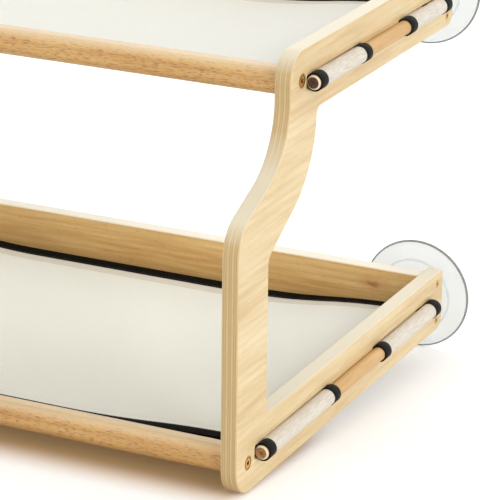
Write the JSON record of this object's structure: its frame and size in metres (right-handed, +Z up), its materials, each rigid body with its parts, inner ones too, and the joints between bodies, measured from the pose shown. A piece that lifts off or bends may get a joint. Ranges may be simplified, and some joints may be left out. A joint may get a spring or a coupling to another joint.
{
  "type": "window cat hammock",
  "caption": "Two-tier hammock frame for a cat: plywood side plates, wooden rails and mesh slings, held to a window pane by suction cups behind the back boards.",
  "frame": {"origin": "middle of the footprint at the height of the lower suction cups' lowest point", "axes": "+X to the object's own right seen from the front, -Y to the front, +Y to the window, +Z up"},
  "size_m": [0.618, 0.445, 0.391],
  "materials": {
    "plywood": "clear satin lacquer over pale plywood with visible plies",
    "rail_wood": "clear satin lacquer over a darker tan hardwood",
    "board_wood": "clear satin lacquer over tan wood with fine grain",
    "dowel_wood": "bare sanded hardwood",
    "mesh_cloth": "off-white woven mesh, matte",
    "edge_tape": "black woven binding tape, matte",
    "bronze": "bronze finish, satin",
    "insert_brass": "plain brass",
    "clear_vinyl": "clear soft vinyl, glossy",
    "steel": "zinc-plated steel",
    "nut_plastic": "black moulded plastic"
  },
  "bodies": {
    "frame": {"side_plate_right": "plywood", "side_plate_left": "plywood", "front_rail_lower": "rail_wood", "back_board_lower": "board_wood", "rail_bolts_lower": "bronze", "rail_inserts_lower": "insert_brass", "board_screws_lower": "bronze", "sling_lower": "mesh_cloth", "front_binding_lower": "edge_tape", "rear_binding_lower": "edge_tape", "cup_studs_lower": "steel", "cup_washers_lower": "steel", "notch_binding_lower_right": "edge_tape", "suction_cup_lower_right": "clear_vinyl", "notch_binding_lower_left": "edge_tape", "suction_cup_lower_left": "clear_vinyl", "front_rail_upper": "rail_wood", "back_board_upper": "board_wood", "rail_bolts_upper": "bronze", "rail_inserts_upper": "insert_brass", "board_screws_upper": "bronze", "sling_upper": "mesh_cloth", "front_binding_upper": "edge_tape", "rear_binding_upper": "edge_tape", "cup_studs_upper": "steel", "cup_washers_upper": "steel", "notch_binding_upper_right": "edge_tape", "suction_cup_upper_right": "clear_vinyl", "notch_binding_upper_left": "edge_tape", "suction_cup_upper_left": "clear_vinyl"},
    "dowel_lower_right": {"dowel_lower_right": "dowel_wood"},
    "dowel_lower_left": {"dowel_lower_left": "dowel_wood"},
    "dowel_upper_right": {"dowel_upper_right": "dowel_wood"},
    "dowel_upper_left": {"dowel_upper_left": "dowel_wood"},
    "thumb_nut_lower_right": {"thumb_nut_lower_right": "nut_plastic"},
    "thumb_nut_lower_left": {"thumb_nut_lower_left": "nut_plastic"},
    "thumb_nut_upper_right": {"thumb_nut_upper_right": "nut_plastic"},
    "thumb_nut_upper_left": {"thumb_nut_upper_left": "nut_plastic"}
  },
  "joints": [
    {"name": "dowel_lower_right_turn", "type": "hinge", "parent": "frame", "child": "dowel_lower_right", "pos_m": [0.29421, 0, 0.0595], "axis": [0, 1, 0], "continuous": true},
    {"name": "thumb_nut_lower_right_spin", "type": "hinge", "parent": "frame", "child": "thumb_nut_lower_right", "pos_m": [0.258, 0.178, 0.051], "axis": [0, 1, 0], "continuous": true},
    {"name": "dowel_lower_left_turn", "type": "hinge", "parent": "frame", "child": "dowel_lower_left", "pos_m": [-0.29421, 0, 0.0595], "axis": [0, 1, 0], "continuous": true},
    {"name": "thumb_nut_lower_left_spin", "type": "hinge", "parent": "frame", "child": "thumb_nut_lower_left", "pos_m": [-0.258, 0.178, 0.051], "axis": [0, 1, 0], "continuous": true},
    {"name": "dowel_upper_right_turn", "type": "hinge", "parent": "frame", "child": "dowel_upper_right", "pos_m": [0.29421, 0, 0.341], "axis": [0, 1, 0], "continuous": true},
    {"name": "thumb_nut_upper_right_spin", "type": "hinge", "parent": "frame", "child": "thumb_nut_upper_right", "pos_m": [0.258, 0.178, 0.34], "axis": [0, 1, 0], "continuous": true},
    {"name": "dowel_upper_left_turn", "type": "hinge", "parent": "frame", "child": "dowel_upper_left", "pos_m": [-0.29421, 0, 0.341], "axis": [0, 1, 0], "continuous": true},
    {"name": "thumb_nut_upper_left_spin", "type": "hinge", "parent": "frame", "child": "thumb_nut_upper_left", "pos_m": [-0.258, 0.178, 0.34], "axis": [0, 1, 0], "continuous": true}
  ]
}
